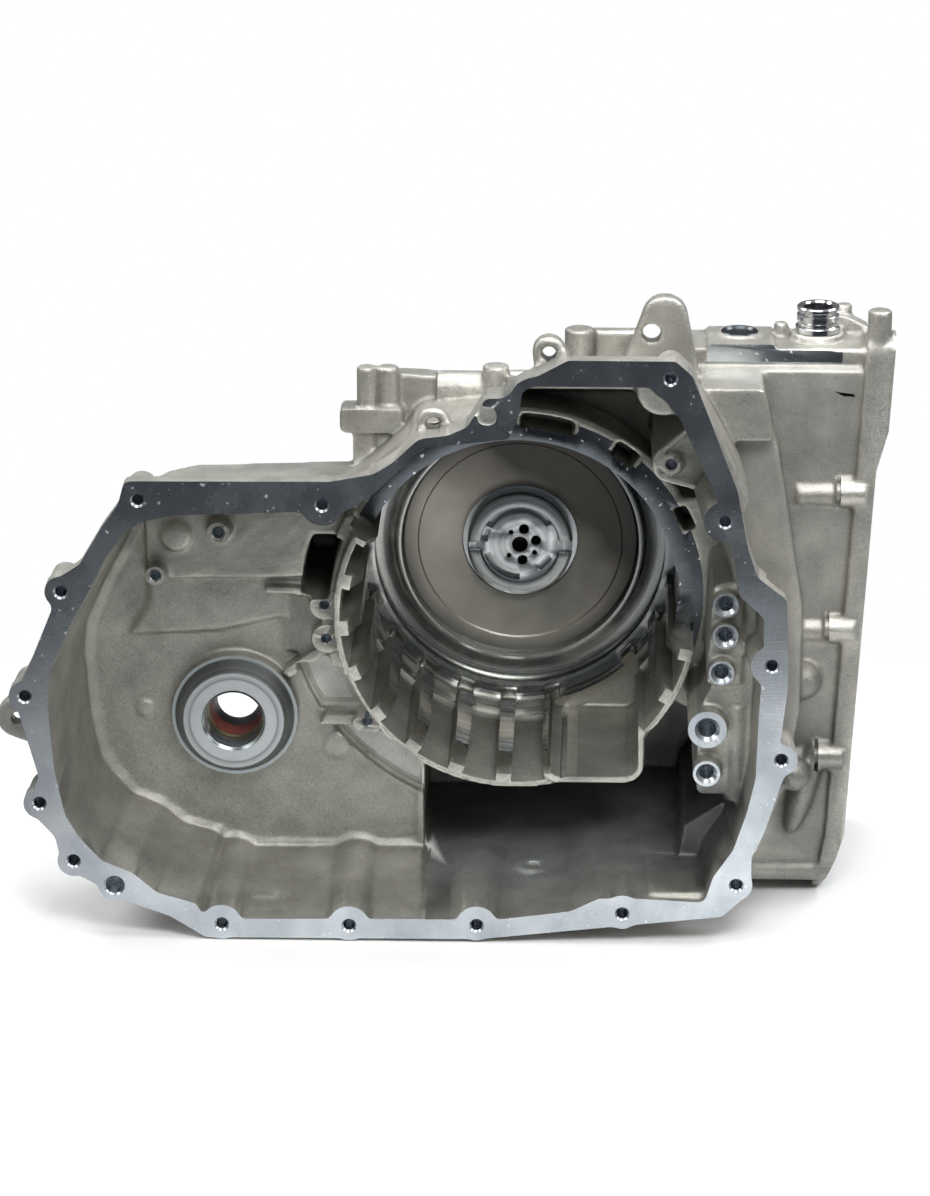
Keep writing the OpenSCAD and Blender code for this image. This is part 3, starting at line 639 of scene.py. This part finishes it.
def drillHoles(obj):
    drill = {name: hole["drill"] for name, hole in holes.items()}
    drills = [rodY(b, *drill["flange"], sides=32, material=milled) for b in places["flangeBolts"]]
    drills.append(rodY(places["dowel"], *drill["dowel"], material=milled))
    drills += [rodY(b, *drill["wall"], b[3], material=milled) for b in places["wallBosses"]]
    drills += [rodY(b, *drill["rim"], sides=24, material=milled) for b in places["rimBolts"]]
    drills += [rodY(b, b[2] - 4, b[2] + 18, b[3] / 2, sides=24, material=milled) for b in places["padBosses"]]
    drills += [rodY(b, *drill["ears"], sides=32, material=cast) for b in places["ears"]]
    drills.append(rodY(places["axle"], *drill["axle"], sides=96, material=turnedAxle))
    drills.append(rodY(places["pad"], *drill["pad"], sides=24, material=milled))
    cutAll(obj, drills, "drills")


def chamferHoles(obj):
    sink = {name: hole.get("sink") for name, hole in holes.items()}
    sinks = [rodY(b, *sink["flange"], sides=32, material=milled) for b in places["flangeBolts"]]
    sinks.append(rodY(places["dowel"], *sink["dowel"], material=milled))
    sinks += [rodY(b, *sink["wall"], b[3] + 2.7, b[3] - 0.1, material=milled) for b in places["wallBosses"]]
    sinks += [rodY(b, *sink["rim"], sides=24, material=milled) for b in places["rimBolts"]]
    sinks += [rodY(b, b[2] - 0.3, b[2] + 1, b[3] / 2 + 1.2, b[3] / 2 - 0.1, sides=24, material=milled)
              for b in places["padBosses"]]
    sinks.append(rodY(places["axle"], *sink["axle"], sides=96, material=turnedAxle))
    # the notch's faces are painted black as shade
    sinks.append(prismY(machining["wallNick"], 80, 86.5, blackShade))
    cutAll(obj, sinks, "sinks")


def earGrooves(obj):
    # half rings at the ends of the cover rail's ears
    for z in machining["earGrooves"]:
        x = railFace(z) - 23
        groove = rodX((85, z), x, x + 2.6, 11.5, cast)
        cut(groove, rodX((85, z), x - 1, x + 4, 6.5, cast))
        cut(groove, boxAt((x - 2, 83.4, z - 20), (x + 5, 110, z + 20), cast))
        cut(obj, groove)


def machineBody(obj):
    cut(obj, prismY([(-400, -300), (400, -300), (400, 300), (-400, 300)], -60, 0, milled))
    faceBosses(obj)
    flatRing(obj)
    paintedLightWindows(obj)
    cut(obj, rodY(places["rimBolts"][1], *holes["rim"]["face"], material=cast))
    railOutline = [(railFace(z), z) for z in machining["railHeights"]] + [(420, 260), (420, -260)]
    cut(obj, prismY(railOutline, 40, 250, milled))
    drillHoles(obj)
    chamferHoles(obj)
    earGrooves(obj)
    cut(obj, boxAt(*machining["deck"], milled))


machineBody(body)
print("casting machined", len(body.data.polygons))

ringCut = rodY((0, 0), 40, 216, bodyLook["ringRadius"], sides=256, material=cast)
cut(body, ringCut, keep=True)
cut(ring, ringCut, operation="INTERSECT")
print("barrel parted", len(ring.data.polygons), "from", len(body.data.polygons))

ringLook = {"bevel": 0.35, "segments": 2, "sharp": 32}


def bevelRing(obj):
    # breaks the sharp edges that are clear of the cut
    co = coords(obj) / mm
    radius = np.hypot(co[:, 0], co[:, 2])
    free = (radius < bodyLook["ringRadius"] - 0.3) & (co[:, 1] < 215)
    ends = edgeEnds(obj)
    sharp = np.zeros(len(ends), bool)
    bm = bmesh.new()
    bm.from_mesh(obj.data)
    for e in bm.edges:
        sharp[e.index] = e.is_manifold and e.calc_face_angle(0) > math.radians(ringLook["sharp"])
    bm.free()
    layer = obj.data.attributes.new("bevel_weight_edge", "FLOAT", "EDGE")
    layer.data.foreach_set("value", (free[ends[:, 0]] & free[ends[:, 1]] & sharp).astype(np.float32))
    m = obj.modifiers.new("edges", "BEVEL")
    m.width = ringLook["bevel"] * mm
    m.segments = ringLook["segments"]
    m.limit_method = "WEIGHT"
    m.use_clamp_overlap = True
    applyAll(obj)


bevelRing(ring)
print("barrel bevelled", len(ring.data.polygons))


# radii and depths where one finish on the barrel gives way to the next
zones = {
    "portRadius": 16, "centreRadius": 12, "centreDepth": 206,
    "hubRadius": 37.2,
    "discRadius": 75.6, "discDepth": 208,
    "floorRadius": 100, "floorDepth": 186,
    "boreRadius": 97.6,
    "stepRadius": 106, "stepDepth": 166,
    "flatDepth": 108,
    "landRadius": 101.5, "landDepth": 86,
    "slotRadius": 101.6, "slotDepth": 107,
}


def ringMaterial(centre, normal):
    # turned where the lathe has been, as cast elsewhere
    radius = math.hypot(centre.x, centre.z)
    outward = (normal.x * centre.x + normal.z * centre.z) / max(radius, 1e-6)
    # the ports' walls and the centre are painted black as shade
    if radius < zones["portRadius"] and abs(normal.y) < 0.6:
        return blackShade
    if radius < zones["centreRadius"] and centre.y > zones["centreDepth"]:
        return blackShade
    if radius < zones["hubRadius"]:
        return hub
    if radius < zones["discRadius"] and centre.y > zones["discDepth"]:
        return disc
    if radius < zones["floorRadius"] and centre.y > zones["floorDepth"]:
        return turned
    if radius < zones["boreRadius"] and outward < -0.6:
        return turned
    if radius < zones["stepRadius"] and centre.y > zones["stepDepth"] and outward < -0.5:
        return turned
    if abs(centre.y - zones["flatDepth"]) < 0.6 and normal.y < -0.9:
        return annulus
    if radius < zones["landRadius"] and centre.y < zones["landDepth"] and normal.y < -0.5:
        return milled
    if radius < zones["slotRadius"] and centre.y > zones["slotDepth"] and outward < -0.9:
        return turned
    return cast


def paintRing(obj):
    slots = obj.data.materials
    for material in (turned, disc, milled, blackShade, annulus, hub):
        if material.name not in slots:
            slots.append(material)
    index = {m.name: i for i, m in enumerate(slots)}
    for face in obj.data.polygons:
        face.material_index = index[ringMaterial(face.center / mm, face.normal).name]


paintRing(ring)


# the mouth's outline at the flange, as X and Z
mouthCorners = np.array([
    (-223, 82), (-206, 86), (-100, 90), (-84, 101), (-54, 130), (-3, 136), (3, 150), (5, 166), (12, 169),
    (84, 169), (100, 148), (112, 122), (126, 92), (133, 61), (137, 38), (152, 24), (152, -2), (150, -40),
    (149, -80), (144, -103), (136, -128), (124, -146), (119, -163), (80, -161), (54, -161), (36, -170),
    (-10, -176), (-190, -178), (-196, -168), (-220, -161), (-235, -148), (-254, -140), (-268, -124),
    (-276, -110), (-282, -80), (-285, -36), (-283, -16), (-270, 14), (-257, 38), (-246, 60),
    (-234, 76)], float)


def outsideMouth(x, z):
    # distance outside the mouth's outline, negative inside it
    inside = np.zeros(len(x), bool)
    gap = np.full(len(x), 1e9)
    for (ax, az), (bx, bz) in zip(mouthCorners, np.roll(mouthCorners, -1, 0)):
        dx, dz = bx - ax, bz - az
        along = np.clip(((x - ax) * dx + (z - az) * dz) / (dx * dx + dz * dz), 0, 1)
        gap = np.minimum(gap, np.hypot(x - ax - along * dx, z - az - along * dz))
        crosses = (az > z) != (bz > z)
        inside ^= crosses & (x < dx * (z - az) / (dz + 1e-9) + ax)
    return np.where(inside, -gap, gap)


def edgeShare(obj, passes):
    # positive on outer edges and negative in corners
    co = coords(obj)
    a, b = edgeEnds(obj).T
    normals = np.zeros(len(co) * 3, np.float32)
    obj.data.vertices.foreach_get("normal", normals)
    normals = normals.reshape(-1, 3)
    count = np.bincount(a, minlength=len(co)) + np.bincount(b, minlength=len(co)) + 1e-9
    along = co[b] - co[a]
    length = np.linalg.norm(along, axis=1) + 1e-9
    bend = (np.bincount(a, -(along * normals[a]).sum(1) / length ** 2, len(co))
            + np.bincount(b, (along * normals[b]).sum(1) / length ** 2, len(co))) / count
    for _ in range(passes):
        bend = (bend + (np.bincount(a, bend[b], len(co)) + np.bincount(b, bend[a], len(co))) / count) / 2
    return np.clip(bend / 160, -1, 1)


def mark(obj, name, values):
    layer = obj.data.attributes.new(name, "FLOAT", "POINT")
    layer.data.foreach_set("value", values.astype(np.float32))


# the cavities narrow by a share of the mouth over a depth, and the last two are how much the painted shade
# darkens inside and outside
cavity = {"centre": (-80, -8), "parting": -57, "deep": (0.08, 197, 199), "shallow": (0.065, 94, 97.6),
          "wall": 2.4, "innerPaintedShade": 0.62, "outerPaintedShade": 0.42}


def paintBody(obj):
    # marks the inside, the sump, the painted light on the window floors and the painted shade for the
    # casting's metal
    x, y, z = (coords(obj) / mm).T
    cx, cz = cavity["centre"]
    deepHalf = x > cavity["parting"]
    (deepDraft, deepLength, deepEnd), (draft, length, end) = cavity["deep"], cavity["shallow"]
    size = np.where(deepHalf, 1 - deepDraft * (y + 1) / deepLength, 1 - draft * (y + 1) / length)
    gap = outsideMouth((x - cx) / size + cx, (z - cz) / size + cz)
    radius = np.hypot(x, z)
    inside = (gap < cavity["wall"]) & (y > 0.2) & (y < np.where(deepHalf, deepEnd, end))
    inside |= (radius < 140) & (y > 76) & (y < 180) & (x < 60)
    low = np.where(x < 96, partWay(-z, 112, 8), partWay(-z, 78, 14))
    # painted light on the window floors left of the barrel
    paintedLight = (radius > rimRadius) & (y > 100) & (y < 109) & (x < -50) & (z < -30)
    # painted shade: low at the right inside the cavity, and low on the right side outside
    innerPaintedShade = inside * partWay(x, 96, 8) * partWay(-z, 92, 10) * partWay(y, 4, 12) * cavity["innerPaintedShade"]
    outerPaintedShade = ~inside * partWay(x, 158, 8) * partWay(-z, 20, 60) * partWay(y, 20, 20) * (x < 206)
    outerPaintedShade *= cavity["outerPaintedShade"]
    mark(obj, "inner", inside * 1.0)
    # painted shade low in the sump, growing towards the back
    mark(obj, "sump", inside * partWay(y, 2, 50) * low * partWay(x, -58, 4))
    mark(obj, "paintedLight", paintedLight * 1.0)
    mark(obj, "paintedShade", np.maximum(innerPaintedShade, outerPaintedShade))
    mark(obj, "edge", edgeShare(obj, 3))


paintBody(body)
ringPlace = coords(ring) / mm
mark(ring, "inner", np.ones(len(ringPlace)))
# painted shade on the cast faces between the lands, inside radius 103
mark(ring, "slot", (np.hypot(ringPlace[:, 0], ringPlace[:, 2]) < 103) & (ringPlace[:, 1] < 205))
mark(ring, "edge", edgeShare(ring, 0))
for piece in (body, ring):
    only(piece)
    bpy.ops.object.shade_smooth_by_angle(angle=math.radians(bodyLook["edgeAngle"]))
    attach(piece, "root")
    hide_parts("case")
print("casting painted")


# the small pieces keep their meshes: name, color and roughness, then metallic, grain and its depth
smallLook = {
    "axle_seal_case": ("sealShell", (0.33, 0.3, 0.2, 1), 0.35),
    "axle_seal_body": ("sealRubber", (0.22, 0.05, 0.035, 1), 0.55, 0.0, 900, 0.00008),
    "axle_seal_lip": ("sealLip", (0.02, 0.02, 0.022, 1), 0.45, 0.0, 900, 0.00005),
    "axle_seal_spring": ("springSteel", (0.6, 0.6, 0.62, 1), 0.25),
    "line_fitting": ("fittingSteel", (0.8, 0.81, 0.83, 1), 0.12),
    "cup_plug": ("plugSteel", (0.09, 0.1, 0.11, 1), 0.3),
}
for name, look in smallLook.items():
    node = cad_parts[name]
    node.data.materials.clear()
    node.data.materials.append(plainMetal(*look))
print("small pieces finished")


# the studio in metres: near and far are how far out the floor turns to plain white
studio = {
    "floorZ": -0.1915,
    "front": -0.46,
    "back": 2.6,
    "side": 2.2,
    "white": 0.9,
    "near": 0.3,
    "far": 0.62,
    "centre": (-0.03, 0.08),
    "squeeze": 1.25,
    "dark": (0.05, 0.05, 0.055, 1),
    # where each edge's dimming begins and ends, and how much light is left there
    "leftDim": (-0.34, -0.18, 0.25, 1.0),
    "frontDim": (-0.46, -0.1, 0.6, 1.0),
    "rightDim": (0.18, 0.4, 1.0, 0.35),
}
bpy.ops.mesh.primitive_plane_add(size=1)
floor = bpy.context.object
floor.name = "floor"
floor.scale = (2 * studio["side"], studio["back"] - studio["front"], 1)
floor.location = (0, (studio["back"] + studio["front"]) / 2, studio["floorZ"])
only(floor)
bpy.ops.object.transform_apply(location=True, rotation=True, scale=True)


def paperFloor():
    # matt white paper, seen as plain white away from the part
    s = Shader("paper")
    x, y = s.parts()[:2]
    across = x - studio["centre"][0]
    along = (y - studio["centre"][1]) * studio["squeeze"]
    far = ((across * across + along * along) ** 0.5).ramp(studio["near"], studio["far"])
    seen = s.cameraRay()
    white = (studio["white"],) * 3 + (1,)
    tone = s.mix(s.noise(40), white, darker(white, 0.985))
    # the paper that lights the part and shows in the metal darkens to the left, front and right
    dim = x.ramp(*studio["leftDim"]) * y.ramp(*studio["frontDim"]) * x.ramp(*studio["rightDim"])
    tone = s.mix(seen, s.mix(dim, studio["dark"], tone), tone)
    matt = {"Base Color": tone, "Roughness": 1.0, "Specular IOR Level": 0.0}
    paper = s.surface("ShaderNodeBsdfPrincipled", matt)
    plain = s.surface("ShaderNodeEmission", {"Color": (1, 1, 1, 1), "Strength": 1.0})
    return s.output(s.mixSurfaces(far * seen, paper, plain))


floor.data.materials.append(paperFloor())

# place, point looked at, width and height, and watts
lamps = {
    "keyBox": ((0.3, -1.15, 1.25), (0.0, 0.1, -0.05), (0.8, 0.5), 20),
    "topBox": ((0.0, 0.1, 1.7), (-0.03, 0.1, 0), (1.4, 1.0), 20),
    "leftBox": ((-1.4, -0.9, 1.1), (-0.1, 0.1, 0.05), (0.7, 0.9), 9),
    "rightBox": ((1.5, -0.6, 0.8), (0.1, 0.1, 0.05), (0.5, 0.9), 4),
    "backLeftBox": ((-0.9, 0.5, 1.2), (-0.1, 0.1, 0.1), (0.6, 0.5), 9),
    "backRightBox": ((1.0, 0.5, 1.2), (0.1, 0.1, 0.1), (0.6, 0.5), 9),
}
for name, (at, towards, size, power) in lamps.items():
    bpy.ops.object.light_add(type="AREA", location=at)
    lamp = bpy.context.object
    lamp.name = name
    lamp.data.shape = "RECTANGLE"
    lamp.data.size, lamp.data.size_y = size
    lamp.data.energy = power
    lamp.rotation_euler = (Vector(towards) - Vector(at)).to_track_quat("-Z", "Y").to_euler()

worldLook = {"below": (0.032, 0.036, 0.042, 1), "level": (0.1, 0.11, 0.12, 1), "above": (0.3, 0.31, 0.32, 1),
             "seen": (1, 1, 1, 1), "lowBand": (-0.12, 0.02), "highBand": (0.05, 0.9)}


def studioWorld():
    # a dim room for the light, plain white for the camera
    s = Shader("studioWorld", world=True)
    z = s.parts()[2]
    below, level, above, plain = [s.surface("ShaderNodeBackground", {"Color": worldLook[k]})
                                  for k in ("below", "level", "above", "seen")]
    room = s.mixSurfaces(z.ramp(*worldLook["lowBand"]), below, level)
    room = s.mixSurfaces(z.ramp(*worldLook["highBand"]), room, above)
    return s.output(s.mixSurfaces(s.cameraRay(), room, plain), "ShaderNodeOutputWorld")


bpy.context.scene.world = studioWorld()

cameraLook = {"place": (0.0567, -2.7307, 1.0025), "tilt": 70.5, "turn": 1.8, "lens": 185.8, "sensor": 36}
tilt, turn = math.radians(cameraLook["tilt"]), math.radians(cameraLook["turn"])
bpy.ops.object.camera_add(location=cameraLook["place"], rotation=(tilt, 0, turn))
camera = bpy.context.object
camera.name = "camera"
camera.data.sensor_fit = "HORIZONTAL"
camera.data.sensor_width = cameraLook["sensor"]
camera.data.lens = cameraLook["lens"]
camera.data.clip_end = 30
bpy.context.scene.camera = camera
bpy.context.scene.view_settings.view_transform = "Standard"
print("studio ready")
